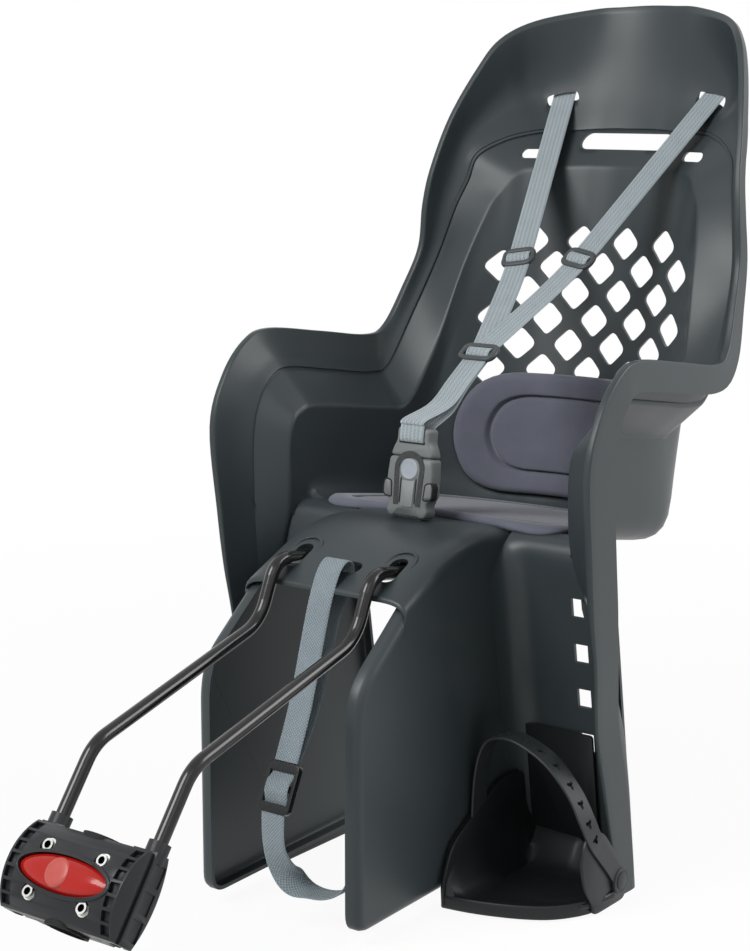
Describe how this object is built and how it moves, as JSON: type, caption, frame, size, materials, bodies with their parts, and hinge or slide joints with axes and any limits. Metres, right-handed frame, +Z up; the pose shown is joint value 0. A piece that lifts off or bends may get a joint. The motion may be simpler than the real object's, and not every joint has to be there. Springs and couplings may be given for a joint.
{
  "type": "child bike seat",
  "caption": "Rear child seat for a bicycle: bucket shell on a bent rod bow, clamped to the seat tube by a block with a red release button, with harness, pads and foot rests.",
  "frame": {"origin": "on the seat tube's axis, at the middle of the clamp block", "axes": "+Z up, -Y towards the front of the bicycle, +X across to the child's left"},
  "size_m": [0.427, 0.8967, 0.7993],
  "materials": {
    "shell": "satin dark slate moulding",
    "block": "black satin glass-filled plastic",
    "lens": "red gloss plastic",
    "rod": "gloss black paint on spring steel",
    "fastener": "zinc plated steel",
    "spring": "bright spring steel",
    "liner": "black rubber",
    "bracket": "black painted steel",
    "pad": "purple grey velour over foam",
    "webbing": "blue grey woven webbing",
    "fitting": "dark grey moulded plastic",
    "buckle": "grey moulded plastic",
    "foot": "black satin plastic",
    "foot_band": "dark grey soft plastic"
  },
  "bodies": {
    "clamp": {"block_front_cover": "block", "block_rear_jaw": "block", "tube_liner": "liner", "clamp_bolts": "fastener", "clamp_washers": "fastener", "clamp_nuts": "fastener", "button_springs": "spring"},
    "release": {"release_button": "lens", "latch_bar": "bracket"},
    "bow": {"bow": "rod"},
    "seat": {"seat_shell": "shell", "bow_saddle": "block", "bow_clamp_plate": "bracket", "bow_clamp_screws": "fastener", "bow_clamp_nuts": "fastener", "seat_pad": "pad", "back_pad": "pad", "shoulder_strap_right": "webbing", "shoulder_strap_left": "webbing", "strap_anchor_right": "fitting", "strap_anchor_left": "fitting", "lower_strap": "webbing", "buckle_body": "buckle", "crotch_strap": "webbing", "crotch_anchor": "fitting", "safety_strap": "webbing", "safety_strap_tail": "webbing", "ladder_lock": "fitting", "strap_stud": "shell"},
    "slider_right": {"shoulder_slider_right": "fitting"},
    "slider_left": {"shoulder_slider_left": "fitting"},
    "junction": {"junction_slider": "fitting"},
    "tongue": {"buckle_tongue": "buckle"},
    "disc": {"buckle_button": "buckle"},
    "tab_right": {"buckle_tab_right": "fitting"},
    "tab_left": {"buckle_tab_left": "fitting"},
    "rest_right": {"foot_rest_right": "foot", "foot_strap_right": "foot_band", "foot_strap_pin_right": "foot"},
    "rest_left": {"foot_rest_left": "foot", "foot_strap_left": "foot_band", "foot_strap_pin_left": "foot"}
  },
  "joints": [
    {"name": "release_press", "type": "slide", "parent": "clamp", "child": "release", "axis": [0, 0.7986, -0.6018], "range_m": [0, 0.003], "stiffness_N_per_m": 500, "springref_m": -0.006, "deforming": ["button_springs"]},
    {"name": "bow_lift", "type": "slide", "parent": "clamp", "child": "bow", "axis": [0, 0.6018, 0.7986], "range_m": [0, 0.09]},
    {"name": "seat_reach", "type": "slide", "parent": "bow", "child": "seat", "axis": [0, 0.9876, -0.157], "range_m": [0, 0.05]},
    {"name": "slider_right_shift", "type": "slide", "parent": "seat", "child": "slider_right", "axis": [0.2265, 0.7098, 0.667], "range_m": [0, 0.03]},
    {"name": "slider_left_shift", "type": "slide", "parent": "seat", "child": "slider_left", "axis": [-0.2265, 0.7098, 0.667], "range_m": [0, 0.03]},
    {"name": "junction_shift", "type": "slide", "parent": "seat", "child": "junction", "axis": [0, -0.8417, -0.5399], "range_m": [0, 0.03]},
    {"name": "tongue_pull", "type": "slide", "parent": "seat", "child": "tongue", "axis": [0, 0.154, 0.9881], "range_m": [0, 0.028], "deforming": ["lower_strap"]},
    {"name": "disc_press", "type": "slide", "parent": "seat", "child": "disc", "axis": [0, 0.9881, -0.154], "range_m": [0, 0.002], "stiffness_N_per_m": 300, "springref_m": -0.004},
    {"name": "tab_right_press", "type": "slide", "parent": "seat", "child": "tab_right", "axis": [-1, 0, 0], "range_m": [0, 0.002], "stiffness_N_per_m": 300, "springref_m": -0.004},
    {"name": "tab_left_press", "type": "slide", "parent": "seat", "child": "tab_left", "axis": [1, 0, 0], "range_m": [0, 0.002], "stiffness_N_per_m": 300, "springref_m": -0.004},
    {"name": "rest_right_height", "type": "slide", "parent": "seat", "child": "rest_right", "axis": [0, -0.158, 0.9874], "range_m": [0, 0.1306]},
    {"name": "rest_left_height", "type": "slide", "parent": "seat", "child": "rest_left", "axis": [0, -0.158, 0.9874], "range_m": [0, 0.1306]}
  ]
}
